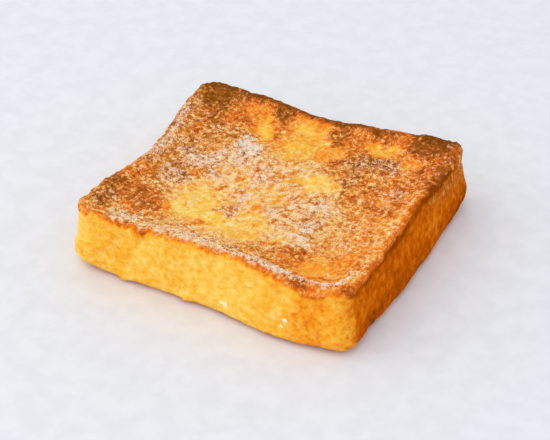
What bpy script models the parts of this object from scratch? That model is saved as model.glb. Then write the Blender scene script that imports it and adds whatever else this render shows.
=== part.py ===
"""A thick slice of french toast: soaked loaf, fried brown on both faces, lying flat.

Metres, +Z up. The origin is the middle of the underside. The slice's longer edges run along X,
and its front faces -Y. It is one solid: a block cut into fine cells, whose points are moved to
the slice's trimmed outline, then to its waists, curled corners and dished face, and last by the
crags of its crust. The shape is worked out in millimetres, and turned to metres at the end.
"""

from dataclasses import dataclass

import bmesh
import bpy
import numpy as np
from mathutils import Vector, noise

# Driving dimensions, before the slant that hand trimming gave the sides
WIDTH = 116.0
DEPTH = 109.0
THICKNESS = 25.5
RIM_RADIUS = 1.8  # where a side turns over to the top
FOOT_RADIUS = 3.7  # where a side turns under
BELLY = 0.8  # how far the soaked sides swell, low down
LIP, LIP_HEIGHT = 0.3, 1.7  # how far the crisp rim stands out over the sides, and its height
DISH = 2.4  # how far the middle of the top sank below its rim
RIM_WIDTH = 11.0  # from the rim down to the level of the dish

# Left of the front right corner, the rim sags and rolls over the front
ROLL_RADIUS = 2.6  # added to the rim's
ROLL_DROP = 2.0
ROLL_AT = 40.0
ROLL_LENGTH = 6.5
ROLL_REACH = 5.0  # inwards from the rim

# Two drips of egg that set on the front, just over the foot
DRIPS = (-37.0, -9.0)
DRIP_HEIGHT, DRIP_WIDTH, DRIP_LEVEL = 1.2, 1.7, 3.0

# Lumps of the crust: their size, and how far they stand out
SWELL_SIZE, SWELL_HEIGHT = 15.0, 0.7
CRAG_SIZE, CRAG_HEIGHT = 5.5, 0.8
EDGE_SIZE, EDGE_HEIGHT = 7.0, 0.7
FOOT_SIZE, FOOT_HEIGHT = 8.0, 0.6
SIDE_SIZE, SIDE_HEIGHT = 9.0, 0.6

CELLS = (48, 45, 11)  # of the block, along X, Y and Z
METRES = 0.001  # to a millimetre
EGG_YELLOW = (0.85, 0.45, 0.07, 1.0)


@dataclass(frozen=True)
class Corner:
    """How round one corner is, seen from above, and how far it is out of true."""

    radius: float
    out_x: float  # trimmed wide
    out_y: float
    foot_x: float  # wider still at the foot
    foot_y: float
    lift: float  # curled up
    foot_round: float  # more radius at the foot
    belly: float  # more swelling


@dataclass(frozen=True)
class Side:
    """How far the middle of one side is out of true."""

    waist: float  # drawn in
    at: float
    spread: float
    lift: float  # the rim's rise


@dataclass(frozen=True)
class Patch:
    """A part of the top that puffed up against the pan, or stayed sunk and soft."""

    x: float
    y: float
    reach_x: float
    reach_y: float
    rise: float


CORNERS = {
    (-1, -1): Corner(8.0, 0.4, -0.4, 2.2, 0.4, lift=2.4, foot_round=2.8, belly=1.6),
    (-1, 1): Corner(8.0, 1.2, -0.9, 0.5, 0.5, lift=1.6, foot_round=0.0, belly=0.6),
    (1, 1): Corner(8.0, 0.5, 0.5, 2.4, 1.7, lift=1.9, foot_round=3.8, belly=1.2),
    (1, -1): Corner(5.5, -1.2, 0.7, 2.2, 0.2, lift=1.2, foot_round=2.2, belly=0.1),
}
CORNER_SPREAD = 16.0  # of a corner's lift
FOOT_SPREAD = 10.0  # of its rounding and swelling

LEFT = Side(waist=4.6, at=-1.0, spread=15.5, lift=-0.1)
RIGHT = Side(waist=0.0, at=0.0, spread=20.0, lift=2.0)
FRONT = Side(waist=0.5, at=0.0, spread=25.0, lift=2.6)
BACK = Side(waist=3.2, at=-4.0, spread=16.5, lift=-1.0)
LIFT_SPREAD, LIFT_REACH = 20.0, 12.0  # of a side's lift, along the side and inwards from it

# The foot of the front and of the right side bow out
FRONT_BOW, FRONT_BOW_AT, FRONT_BOW_SPREAD = 4.1, 30.0, 16.5
RIGHT_BOW, RIGHT_BOW_SPREAD = 1.8, 22.0

PATCHES = (
    Patch(-25.0, 53.0, 7.0, 6.0, rise=0.9),
    Patch(30.0, 21.0, 11.0, 10.0, rise=0.8),
    Patch(-42.0, 12.0, 10.0, 24.0, rise=0.5),
    Patch(-37.0, -36.0, 10.0, 8.0, rise=0.5),
    Patch(27.0, -37.0, 6.0, 4.0, rise=0.5),
    Patch(0.0, 33.0, 11.0, 11.0, rise=-0.8),
    Patch(28.0, 42.0, 8.0, 4.0, rise=-0.6),
    Patch(-23.0, 34.0, 5.0, 6.0, rise=-0.6),
    Patch(-13.0, -20.0, 15.0, 12.0, rise=-0.7),
    Patch(2.0, -36.0, 22.0, 5.0, rise=-0.6),
    Patch(42.0, -28.0, 7.0, 11.0, rise=-0.4),
)


def bump(value, centre, spread):
    """A smooth bump of height 1 at the centre, dying away over the spread."""
    return np.exp(-(((value - centre) / spread) ** 2) / 2)


def ease(value):
    """0 below 0 and 1 above 1, with a smooth step between them."""
    t = np.clip(value, 0.0, 1.0)
    return t * t * (3 - 2 * t)


def lumps(points, size, seed):
    """Fractal lumps of about that size, from -1 to 1, at each point."""
    start = Vector((seed, 2 * seed, 3 * seed))
    return np.array([noise.fractal(Vector(p) / size + start, 1.0, 2.0, 3) for p in points])


def block():
    """The lattice: a cube from -1 to 1, cut into CELLS along each axis."""
    mesh = bmesh.new()
    bmesh.ops.create_cube(mesh, size=2)
    for axis, cells in enumerate(CELLS):
        across = [
            edge
            for edge in mesh.edges
            if abs((edge.verts[1].co - edge.verts[0].co).normalized()[axis]) > 0.99
        ]
        bmesh.ops.subdivide_edges(mesh, edges=across, cuts=cells - 1, use_grid_fill=True)
    return mesh


class Outline:
    """The rounded outline under each point of the block, seen from above."""

    def __init__(self, unit):
        half = np.array([WIDTH, DEPTH]) / 2
        self.ring = np.abs(unit[:, :2]).max(axis=1)
        self.edge = unit[:, :2] / np.maximum(self.ring, 1e-9)[:, None] * half
        self.edge[self.ring < 1e-9] = (half[0], 0.0)
        self.radius = np.zeros((len(unit), 1))
        for place, corner in CORNERS.items():
            self.radius[(self.edge * place >= 0).all(axis=1)] = corner.radius
        self.inner = np.clip(self.edge, self.radius - half, half - self.radius)
        away = self.edge - self.inner
        self.outward = away / np.linalg.norm(away, axis=1)[:, None]

    def near_corner(self, corner, spread):
        """1 at a corner of the outline, dying away over the spread."""
        at_x, at_y = corner[0] * WIDTH / 2, corner[1] * DEPTH / 2
        return bump(self.edge[:, 0], at_x, spread) * bump(self.edge[:, 1], at_y, spread)

    def on_roll(self):
        """1 where the rim rolls over, dying away from there along the front."""
        along = bump(self.edge[:, 0], ROLL_AT, ROLL_LENGTH)
        return along * bump(self.edge[:, 1], -DEPTH / 2, ROLL_LENGTH)

    def placed(self, inset):
        """The block's points inside the outline, when it is drawn in by the inset."""
        edge = self.inner + self.outward * (self.radius - inset[:, None])
        return edge * self.ring[:, None]


def inset_at(height, level, outline):
    """How far the side is inside the outline at a height: its roundings, belly and lip."""
    foot, belly = FOOT_RADIUS, BELLY
    for place, corner in CORNERS.items():
        near = outline.near_corner(place, FOOT_SPREAD)
        foot = foot + corner.foot_round * near
        belly = belly + corner.belly * near
    rim = RIM_RADIUS + ROLL_RADIUS * outline.on_roll()
    below = np.clip(foot - height, 0, None)
    above = np.clip(height - THICKNESS + rim, 0, None)
    inset = foot - np.sqrt(np.clip(foot**2 - below**2, 0, None))
    inset = inset + rim - np.sqrt(np.clip(rim**2 - above**2, 0, None))
    inset = inset - belly * np.sin(np.pi * level) * (1 - 1.6 * level)
    return inset - LIP * bump(height, THICKNESS - LIP_HEIGHT, LIP_HEIGHT) * (level < 1)


def rise_at(x, y):
    """How far the top rose or sank in frying, at a place seen from above."""
    wide, deep = WIDTH / 2, DEPTH / 2
    rise = LEFT.lift * bump(x, -wide, LIFT_REACH) * bump(y, LEFT.at, LIFT_SPREAD)
    rise = rise + RIGHT.lift * bump(x, wide, LIFT_REACH) * bump(y, RIGHT.at, LIFT_SPREAD)
    rise = rise + FRONT.lift * bump(y, -deep, LIFT_REACH) * bump(x, FRONT.at, LIFT_SPREAD)
    rise = rise + BACK.lift * bump(y, deep, LIFT_REACH) * bump(x, BACK.at, LIFT_SPREAD)
    rise = rise - ROLL_DROP * bump(y, -deep, ROLL_REACH) * bump(x, ROLL_AT, ROLL_LENGTH)
    for (side_x, side_y), corner in CORNERS.items():
        near = bump(x, side_x * wide, CORNER_SPREAD) * bump(y, side_y * deep, CORNER_SPREAD)
        rise = rise + corner.lift * near
    for patch in PATCHES:
        near = bump(x, patch.x, patch.reach_x) * bump(y, patch.y, patch.reach_y)
        rise = rise + patch.rise * near
    return rise


def dish_at(x, y):
    """How far the top sank below its rim, at a place seen from above."""
    across = ease((WIDTH / 2 - np.abs(x) - RIM_RADIUS) / RIM_WIDTH)
    return DISH * across * ease((DEPTH / 2 - np.abs(y) - RIM_RADIUS) / RIM_WIDTH)


def slice_form(unit, outline):
    """The slice's smooth form, for points of the block."""
    level = (1 - np.cos(np.pi * (unit[:, 2] + 1) / 2)) / 2
    height = THICKNESS * level
    foot = 1 - level
    x, y = outline.placed(inset_at(height, level, outline)).T
    share_x = np.clip(2 * x / WIDTH, -1, 1)
    share_y = np.clip(2 * y / DEPTH, -1, 1)

    out_x = out_y = 0.0
    for (side_x, side_y), corner in CORNERS.items():
        weight = (1 + side_x * share_x) * (1 + side_y * share_y) / 4
        out_x = out_x + weight * (corner.out_x + foot * corner.foot_x)
        out_y = out_y + weight * (corner.out_y + foot * corner.foot_y)
    left = LEFT.waist * bump(y, LEFT.at, LEFT.spread)
    right = RIGHT.waist * bump(y, RIGHT.at, RIGHT.spread)
    right = right - foot * RIGHT_BOW * bump(y, 0.0, RIGHT_BOW_SPREAD)
    front = FRONT.waist * bump(x, FRONT.at, FRONT.spread)
    front = front - foot * FRONT_BOW * bump(x, FRONT_BOW_AT, FRONT_BOW_SPREAD)
    back = BACK.waist * bump(x, BACK.at, BACK.spread)
    in_x = np.where(x < 0, left, right) * share_x**2
    in_y = np.where(y < 0, front, back) * share_y**2
    moved_x = x + share_x * out_x - np.sign(x) * in_x
    moved_y = y + share_y * out_y - np.sign(y) * in_y
    raised = height + rise_at(x, y) * level - dish_at(x, y) * (unit[:, 2] > 0.999)
    return np.stack([moved_x, moved_y, raised], axis=1)


def crags(points, unit, outline):
    """How the crust's lumps move each point: the rim and sides out or in, the top up or down."""
    level = points[:, 2] / THICKNESS
    top = unit[:, 2] > 0.999
    side = outline.ring > 0.999
    at_rim = bump(level, 1.0, 0.1) * ease((outline.ring - 0.9) / 0.1)
    at_foot = bump(level, 0.12, 0.1) * side
    front = side & (outline.edge[:, 1] < -DEPTH / 4)
    edge = np.column_stack([outline.edge, np.zeros(len(points))])

    out = at_rim * EDGE_HEIGHT * lumps(edge, EDGE_SIZE, 7.9)
    out += at_foot * FOOT_HEIGHT * lumps(edge, FOOT_SIZE, 5.2)
    out += side * ease(6 * level) * (1 - at_rim) * SIDE_HEIGHT * lumps(points, SIDE_SIZE, 2.7)
    for drip in DRIPS:
        near = bump(points[:, 0], drip, DRIP_WIDTH) * bump(points[:, 2], DRIP_LEVEL, DRIP_WIDTH)
        out += front * DRIP_HEIGHT * near
    up = at_rim * EDGE_HEIGHT * lumps(edge, EDGE_SIZE, 3.4)
    swell = SWELL_HEIGHT * lumps(points, SWELL_SIZE, 1.3)
    up += top * (1 - at_rim) * (swell + CRAG_HEIGHT * lumps(points, CRAG_SIZE, 4.1))
    return np.column_stack([out[:, None] * outline.outward, up])


def slice_mesh():
    """The slice as one closed mesh, with the middle of its underside at the origin."""
    mesh = block()
    unit = np.array([vertex.co for vertex in mesh.verts])
    outline = Outline(unit)
    points = slice_form(unit, outline)
    points += crags(points, unit, outline)
    points[:, :2] -= (points[:, :2].min(axis=0) + points[:, :2].max(axis=0)) / 2
    for vertex, point in zip(mesh.verts, points):
        vertex.co = point * METRES
    return mesh


def fried_bread():
    """The custard-soaked loaf as a plain material."""
    material = bpy.data.materials.new("custard_loaf")
    material.use_nodes = True
    shader = material.node_tree.nodes["Principled BSDF"]
    shader.inputs["Base Color"].default_value = EGG_YELLOW
    shader.inputs["Roughness"].default_value = 0.6
    shader.inputs["Metallic"].default_value = 0.0
    return material


def main():
    """Clears the scene and builds the slice."""
    for old in list(bpy.data.objects):
        bpy.data.objects.remove(old)
    mesh = bpy.data.meshes.new("french_toast")
    form = slice_mesh()
    form.to_mesh(mesh)
    form.free()
    mesh.shade_smooth()
    mesh.materials.append(fried_bread())
    bpy.context.scene.collection.objects.link(bpy.data.objects.new("french_toast", mesh))


main()
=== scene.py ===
"""A thick slice of french toast, lying on a pale floor in soft studio light.

The slice is one dense closed mesh. Its form is worked out from named sizes, in millimetres: a
rounded block, drawn in at its waists, curled at its corners and dished on top. The browned crumb
of its faces is relief on that mesh, and the same relief drives how brown each point is, its
hollows browner as painted shade. Sugar is a scatter of real grains on the crust, over a fine
dusting in the finish.
"""

import logging
import math
from dataclasses import dataclass, field
from enum import Enum
from typing import Any, Callable, Sequence, Union

import bmesh
import bpy
import numpy as np
from mathutils import Matrix, Vector, noise


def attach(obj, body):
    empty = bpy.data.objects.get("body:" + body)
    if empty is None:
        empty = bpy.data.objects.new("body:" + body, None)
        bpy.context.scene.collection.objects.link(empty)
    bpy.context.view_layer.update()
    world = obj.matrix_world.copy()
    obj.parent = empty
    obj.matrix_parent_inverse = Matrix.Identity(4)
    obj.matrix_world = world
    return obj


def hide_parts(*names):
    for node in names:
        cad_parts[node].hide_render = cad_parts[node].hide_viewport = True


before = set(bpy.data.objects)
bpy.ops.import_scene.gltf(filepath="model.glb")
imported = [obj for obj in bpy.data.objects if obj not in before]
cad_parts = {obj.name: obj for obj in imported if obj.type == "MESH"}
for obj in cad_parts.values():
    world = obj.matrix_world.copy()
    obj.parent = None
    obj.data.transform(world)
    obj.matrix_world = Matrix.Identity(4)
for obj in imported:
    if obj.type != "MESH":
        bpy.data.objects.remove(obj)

LOG = logging.getLogger("french_toast")
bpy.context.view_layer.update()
NODE = "french_toast"
BODY = "root"
METRES = 0.001  # to a millimetre

Colour = tuple[float, float, float, float]
Pair = tuple[float, float]


# ---------------------------------------------------------------- small maths


def bump(value: np.ndarray, centre: float, spread: float) -> np.ndarray:
    """A smooth bump of height 1 at the centre, dying away over the spread."""
    return np.exp(-(((value - centre) / spread) ** 2) / 2)


def mound(x: np.ndarray, y: np.ndarray, middle: Pair, spread: Pair) -> np.ndarray:
    """A smooth bump in two directions, of height 1 at its middle."""
    return bump(x, middle[0], spread[0]) * bump(y, middle[1], spread[1])


def ease(value: np.ndarray) -> np.ndarray:
    """0 below 0 and 1 above 1, with a smooth step between them."""
    t = np.clip(value, 0.0, 1.0)
    return t * t * (3 - 2 * t)


def lumps(points: np.ndarray, size: float, seed: float, octaves: int = 3) -> np.ndarray:
    """Fractal lumps, from about -1 to 1.

    Args:
        points: Places in millimetres, one row each.
        size: The width of the largest lumps.
        seed: Moves the pattern, so that each use has its own.
        octaves: How many halvings of the size are added.

    Returns:
        One value for each point.
    """
    start = Vector((seed, 2 * seed, 3 * seed))
    made = [noise.fractal(Vector(p) / size + start, 1.0, 2.0, octaves) for p in points]
    return np.array(made)


def cells(points: np.ndarray, size: float, seed: float) -> np.ndarray:
    """How far each point is into a random cell of about that size.

    Args:
        points: Places in millimetres, one row each.
        size: The cells' width.
        seed: Moves the pattern.

    Returns:
        0 at a wall between two cells, up to about 1 in a cell's middle.
    """
    start = Vector((seed, 2 * seed, 3 * seed))
    found = [noise.voronoi(Vector(p) / size + start)[0] for p in points]
    near = np.array([(distances[0], distances[1]) for distances in found])
    return near[:, 1] - near[:, 0]


def linear(red: int, green: int, blue: int) -> Colour:
    """A colour given as 0 to 255 on a screen, as the light that it stands for.

    Args:
        red: How red it is.
        green: How green it is.
        blue: How blue it is.

    Returns:
        The light, with 1 for its alpha.
    """
    parts = [part / 255 for part in (red, green, blue)]
    lights = [p / 12.92 if p <= 0.04045 else ((p + 0.055) / 1.055) ** 2.4 for p in parts]
    return (lights[0], lights[1], lights[2], 1.0)


def piece_of(
    name: str, points: np.ndarray, faces: Sequence[Sequence[int]], finish: bpy.types.Material
) -> bpy.types.Object:
    """Makes a mesh object and puts it in the scene.

    Args:
        name: The object's and the mesh's name.
        points: Its points, in millimetres.
        faces: Its faces, as rows of point numbers.
        finish: Its material.

    Returns:
        The object.
    """
    mesh = bpy.data.meshes.new(name)
    mesh.from_pydata((points * METRES).tolist(), [], faces)
    mesh.materials.append(finish)
    piece = bpy.data.objects.new(name, mesh)
    bpy.context.scene.collection.objects.link(piece)
    return piece


# ---------------------------------------------------------------- material nodes


Value = Union["Socket", float, Sequence[float]]


def math_operator(operation: str, swapped: bool = False) -> Callable[["Socket", Value], "Socket"]:
    """An operator between a socket and another value, worked out by a Math node.

    Args:
        operation: What the node does.
        swapped: Whether the other value comes first.

    Returns:
        The operator, as a method.
    """

    def operate(self: "Socket", other: Value) -> "Socket":
        """Adds the node."""
        first, second = (other, self) if swapped else (self, other)
        return self.nodes.add("ShaderNodeMath", {"operation": operation}, {0: first, 1: second})

    return operate


class Socket:
    """One output of a material's nodes, for use in sums."""

    __add__ = math_operator("ADD")
    __radd__ = math_operator("ADD", swapped=True)
    __sub__ = math_operator("SUBTRACT")
    __rsub__ = math_operator("SUBTRACT", swapped=True)
    __mul__ = math_operator("MULTIPLY")
    __rmul__ = math_operator("MULTIPLY", swapped=True)

    def __init__(self, nodes: "Nodes", output: Any) -> None:
        """Keeps the output and the nodes it belongs to."""
        self.nodes = nodes
        self.output = output

    def __abs__(self) -> "Socket":
        """The value without its sign."""
        return self.nodes.add("ShaderNodeMath", {"operation": "ABSOLUTE"}, {0: self})

    def clear(self, low: float, high: float) -> "Socket":
        """A smooth step from 0 at low to 1 at high."""
        settings = {"interpolation_type": "SMOOTHSTEP"}
        return self.nodes.add("ShaderNodeMapRange", settings, {0: self, 1: low, 2: high})


class Nodes:
    """The node tree of one material."""

    def __init__(self, name: str) -> None:
        """Makes a material with an empty tree, a Principled shader and its output.

        Args:
            name: The material's name.
        """
        self.material = bpy.data.materials.new(name)
        self.material.use_nodes = True
        self.tree = self.material.node_tree
        self.tree.nodes.clear()
        self.shader = self.tree.nodes.new("ShaderNodeBsdfPrincipled")
        output = self.tree.nodes.new("ShaderNodeOutputMaterial")
        self.tree.links.new(self.shader.outputs[0], output.inputs[0])

    def _feed(self, node: Any, sockets: dict[Any, Value]) -> None:
        """Sets or links a node's inputs.

        Args:
            node: The node.
            sockets: The values or links, by name or number of input.
        """
        for key, value in sockets.items():
            if isinstance(value, Socket):
                self.tree.links.new(value.output, node.inputs[key])
            else:
                node.inputs[key].default_value = value

    def add(
        self, kind: str, settings: dict[str, Any], sockets: dict[Any, Value], out: int = 0
    ) -> Socket:
        """Any node.

        Args:
            kind: The node's type.
            settings: Its properties, set before its sockets. "stops" are a ramp's places and colours.
            sockets: The values or links of its inputs, by name or number.
            out: Which output is wanted.

        Returns:
            That output.
        """
        node = self.tree.nodes.new(kind)
        for name, value in settings.items():
            if name == "stops":
                self._stops(node.color_ramp, value)
            else:
                setattr(node, name, value)
        self._feed(node, sockets)
        return Socket(self, node.outputs[out])

    @staticmethod
    def _stops(ramp: Any, stops: Sequence[tuple[float, Colour]]) -> None:
        """Gives a ramp its stops.

        Args:
            ramp: A ramp node's colour ramp.
            stops: Their places and colours.
        """
        while len(ramp.elements) < len(stops):
            ramp.elements.new(1.0)
        for element, (place, colour) in zip(ramp.elements, stops):
            element.position = place
            element.color = colour

    def place(self) -> Socket:
        """Where a point is, in the object's own metres."""
        return self.add("ShaderNodeTexCoord", {}, {}, 3)

    def painted(self, name: str) -> Socket:
        """A value that the mesh holds at each point."""
        return self.add("ShaderNodeAttribute", {"attribute_name": name}, {}, 2)

    def speckle(
        self, size: float, detail: float = 2.0, roughness: float = 0.5, twist: float = 0.0
    ) -> Socket:
        """Noise from 0 to 1.

        Args:
            size: The width of its spots, in millimetres.
            detail: How many finer layers it has.
            roughness: How strong those are.
            twist: How far its spots are curled round each other.

        Returns:
            The noise.
        """
        sockets = {"Vector": self.place(), "Scale": 1 / (size * METRES)}
        sockets |= {"Detail": detail, "Roughness": roughness, "Distortion": twist}
        return self.add("ShaderNodeTexNoise", {}, sockets)

    def ramp(self, factor: Socket, stops: Sequence[tuple[float, Colour]]) -> Socket:
        """The colour of a ramp at the factor."""
        return self.add("ShaderNodeValToRGB", {"stops": stops}, {0: factor})

    def mix(self, factor: Value, first: Value, second: Value) -> Socket:
        """The first colour turning into the second as the factor goes from 0 to 1."""
        return self.add("ShaderNodeMix", {"data_type": "RGBA"}, {0: factor, 6: first, 7: second}, 2)

    def relief(self, height: Socket, depth: float, strength: float) -> Socket:
        """A bump.

        Args:
            height: How high the surface is, from 0 to 1.
            depth: What 1 stands for, in millimetres.
            strength: How much of it shows.

        Returns:
            The normal.
        """
        sockets = {"Height": height, "Distance": depth * METRES, "Strength": strength}
        return self.add("ShaderNodeBump", {}, sockets)

    def surface(self, **sockets: Value) -> bpy.types.Material:
        """Feeds the shader, each socket named with _ for a space, and gives the material."""
        self._feed(self.shader, {name.replace("_", " "): v for name, v in sockets.items()})
        return self.material


# ---------------------------------------------------------------- finishes


@dataclass(frozen=True)
class CrumbNoise:
    """The noises that the crumb's colours and its relief share."""

    coarse: Socket
    fine: Socket
    mottle: Socket
    curls: Socket


@dataclass(frozen=True)
class ToastFinish:
    """Fried crumb on the faces, smooth egg-soaked crumb on the sides, and a dusting of sugar.

    Each ramp goes from the palest tone to the brownest. The sizes and the height are in
    millimetres. The curls are the crumb's strands, the clots are the custard between them, and
    the clouds are the egg white in the sides.
    """

    custard: tuple[tuple[float, Colour], ...] = (
        (0.00, linear(248, 214, 108)),
        (0.16, linear(250, 194, 60)),
        (0.32, linear(248, 164, 38)),
        (0.50, linear(238, 128, 30)),
        (0.66, linear(214, 92, 22)),
        (0.82, linear(168, 76, 20)),
        (1.00, linear(120, 60, 12)),
    )
    crumbs: tuple[tuple[float, Colour], ...] = (
        (0.00, linear(251, 214, 124)),
        (0.20, linear(246, 196, 94)),
        (0.38, linear(237, 170, 80)),
        (0.54, linear(222, 142, 62)),
        (0.68, linear(204, 116, 40)),
        (0.83, linear(170, 98, 35)),
        (1.00, linear(133, 73, 14)),
    )
    soaked: tuple[tuple[float, Colour], ...] = (
        (0.00, linear(255, 214, 104)),
        (0.30, linear(250, 184, 58)),
        (0.55, linear(246, 152, 34)),
        (0.80, linear(210, 98, 6)),
        (1.00, linear(146, 66, 3)),
    )
    # Pale glaze on the raised strands, partly a painted highlight on them
    glaze_and_highlight: Colour = linear(253, 216, 138)
    sugar: Colour = linear(246, 228, 208)
    albumen: Colour = linear(255, 230, 150)
    cream: Colour = linear(252, 226, 160)
    curl_size: float = 1.8
    clot_size: float = 2.6
    cloud_size: float = 3.4
    coarse_size: float = 1.9
    fine_size: float = 0.9
    mottle_size: float = 2.2
    relief_height: float = 0.6

    def fried(self, nodes: Nodes, noise: CrumbNoise, tone: Socket, crumbly: Socket) -> Socket:
        """The colour of the fried faces under their sugar.

        Args:
            nodes: The material's nodes.
            noise: The crumb's noises.
            tone: How brown each point is.
            crumbly: 1 where the crumb is open, and 0 where custard closes it.

        Returns:
            The colour.
        """
        broken = noise.curls * (noise.coarse + noise.fine).clear(0.80, 1.15)
        # The coarse noise also raises the bump, so raised crumb is paler and its hollows browner:
        # painted relief shade
        grain = (noise.fine - 0.5) * 0.5 - (noise.coarse - 0.5) * 0.8
        custard = nodes.ramp(tone + grain * 0.6 - (broken - 0.25) * 0.12, self.custard)
        # The raised strands are paler, partly pale crumb and partly painted highlight
        strands = (broken - 0.25) * (0.48 - tone.clear(0.65, 0.95) * 0.36)
        crumbs = nodes.ramp(tone + grain * 0.9 - strands, self.crumbs)
        colour = nodes.mix(crumbly, custard, crumbs)
        # The glaze on the strands is partly pale glaze and partly a painted highlight
        glaze_and_highlight_share = broken * (1 - tone.clear(0.5, 0.95)) * 0.2
        colour = nodes.mix(glaze_and_highlight_share, colour, self.glaze_and_highlight)
        clots = nodes.speckle(self.clot_size, 2.0, 0.5, 0.6).clear(0.50, 0.66)
        clots = clots * (1 - tone.clear(0.3, 0.6)) * (crumbly * 0.43 + 0.12)
        return nodes.mix(clots, colour, self.cream)

    def side(self, nodes: Nodes, noise: CrumbNoise, tone: Socket) -> Socket:
        """The colour of the egg-soaked sides.

        Args:
            nodes: The material's nodes.
            noise: The crumb's noises.
            tone: How brown each point is.

        Returns:
            The colour.
        """
        dark = tone.clear(0.4, 0.9)
        blotch = (noise.mottle - 0.5) * (0.8 - dark * 0.45) + (noise.fine - 0.5) * (0.45 - dark * 0.35)
        colour = nodes.ramp(tone + blotch, self.soaked)
        clouds = nodes.speckle(self.cloud_size, 3.0, 0.65).clear(0.50, 0.78)
        return nodes.mix(clouds * (1 - tone.clear(0.25, 0.75)) * 0.5, colour, self.albumen)

    def material(self) -> bpy.types.Material:
        """The finish as nodes.

        Returns:
            The material.
        """
        nodes = Nodes("fried_egg_bread")
        names = ("tone", "sugar", "soak", "crumbly")
        tone, sugar, soak, crumbly = (nodes.painted(name) for name in names)
        coarse = nodes.speckle(self.coarse_size, 2.0, 0.6)
        fine = nodes.speckle(self.fine_size, 2.0, 0.6)
        mottle = nodes.speckle(self.mottle_size, 2.0, 0.55)
        curls = 1 - abs(nodes.speckle(self.curl_size, 1.0, 0.5, 0.8) - 0.5).clear(0.02, 0.10)
        noise = CrumbNoise(coarse, fine, mottle, curls)
        fried = self.fried(nodes, noise, tone, crumbly)
        crumb = nodes.mix(soak, fried, self.side(nodes, noise, tone))
        patchy = (coarse - 0.5) * 1.4 + (0.5 - fine) * 1.2
        thick = sugar + patchy * (1.1 - sugar) + curls * 0.16
        crust = thick.clear(0.26, 0.84) * (1 - soak)
        rough = coarse * 0.6 + fine * 0.4 + curls * 0.2 + crust * 0.2
        height = rough * (1 - soak * 0.8) + mottle * soak * 0.7
        moist = (1 - tone.clear(0.2, 0.5)) * (1 - soak) * (1 - crust)
        return nodes.surface(
            Base_Color=nodes.mix(crust * (0.60 + sugar * 0.35), crumb, self.sugar),
            Roughness=0.5 + (1 - soak) * 0.1 + crust * 0.15,
            Coat_Weight=moist * 0.25,
            Normal=nodes.relief(height, self.relief_height, 0.7),
            Subsurface_Weight=0.12,
            Subsurface_Radius=(1.0, 0.42, 0.14),
            Subsurface_Scale=0.002,
            Specular_IOR_Level=0.0,
            Coat_Roughness=0.3,
        )


@dataclass(frozen=True)
class EggWhiteFinish:
    """Set egg white, moist and a little clear."""

    white: Colour = linear(255, 242, 188)
    yolky: Colour = linear(254, 226, 146)

    def material(self) -> bpy.types.Material:
        """The finish as nodes.

        Returns:
            The material.
        """
        nodes = Nodes("set_egg_white")
        cloud = nodes.speckle(0.8, 2.0)
        return nodes.surface(
            Base_Color=nodes.mix(cloud.clear(0.4, 0.65), self.white, self.yolky),
            Roughness=0.35 + cloud * 0.15,
            Normal=nodes.relief(nodes.speckle(0.4, 1.0), 0.1, 0.4),
            Subsurface_Weight=0.2,
            Subsurface_Radius=(1.0, 0.7, 0.4),
            Subsurface_Scale=0.0008,
        )


@dataclass(frozen=True)
class SugarFinish:
    """Fine white sugar, slightly clear at its edges."""

    white: Colour = linear(252, 244, 232)
    warm: Colour = linear(248, 226, 192)

    def material(self) -> bpy.types.Material:
        """The finish as nodes.

        Returns:
            The material.
        """
        nodes = Nodes("white_sugar")
        colour = nodes.mix(nodes.speckle(0.9, 1.0).clear(0.35, 0.65), self.white, self.warm)
        return nodes.surface(
            Base_Color=colour,
            Roughness=0.38 + nodes.speckle(0.2, 1.0) * 0.15,
            Subsurface_Weight=0.25,
            Subsurface_Radius=(1.0, 0.9, 0.8),
            Subsurface_Scale=0.0004,
        )


@dataclass(frozen=True)
class FloorFinish:
    """Smooth pale paper."""

    light: Colour = linear(232, 234, 238)
    dark: Colour = linear(227, 229, 233)

    def material(self) -> bpy.types.Material:
        """The finish as nodes.

        Returns:
            The material.
        """
        nodes = Nodes("pale_paper")
        fibre = nodes.speckle(9.0, 3.0, 0.6)
        return nodes.surface(
            Base_Color=nodes.mix(fibre.clear(0.35, 0.65), self.light, self.dark),
            Roughness=0.9,
            Normal=nodes.relief(nodes.speckle(1.2, 2.0), 0.1, 0.1),
            Specular_IOR_Level=0.1,
        )


# ---------------------------------------------------------------- the slice's form


@dataclass(frozen=True)
class Corner:
    """How round one corner is, seen from above, and how far it is out of true.

    It stands out along X and Y, and its foot stands out further. Its rim is lifted, and its foot
    and its side are rounder than elsewhere.
    """

    radius: float
    out_x: float
    out_y: float
    foot_x: float
    foot_y: float
    lift: float
    foot_round: float
    belly: float


@dataclass(frozen=True)
class Edge:
    """How far the middle of one side is drawn in, and how far its rim rose."""

    waist: float
    at: float
    spread: float
    lift: float


@dataclass(frozen=True)
class Bow:
    """How far a side's foot stands out, and where along the side."""

    out: float
    at: float
    spread: float


@dataclass(frozen=True)
class Swell:
    """A part of the top that puffed up against the pan, or stayed sunk and soft."""

    x: float
    y: float
    reach_x: float
    reach_y: float
    rise: float


@dataclass(frozen=True)
class Crags:
    """Lumps of the crust, by their height and width, and the seed of their pattern."""

    height: float
    width: float
    seed: float

    def at(self, points: np.ndarray) -> np.ndarray:
        """How far they stand out at each point."""
        return self.height * lumps(points, self.width, self.seed)


class Face(Enum):
    """The parts of the block's surface."""

    TOP = 1
    SIDE = 2
    UNDER = 3


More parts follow.
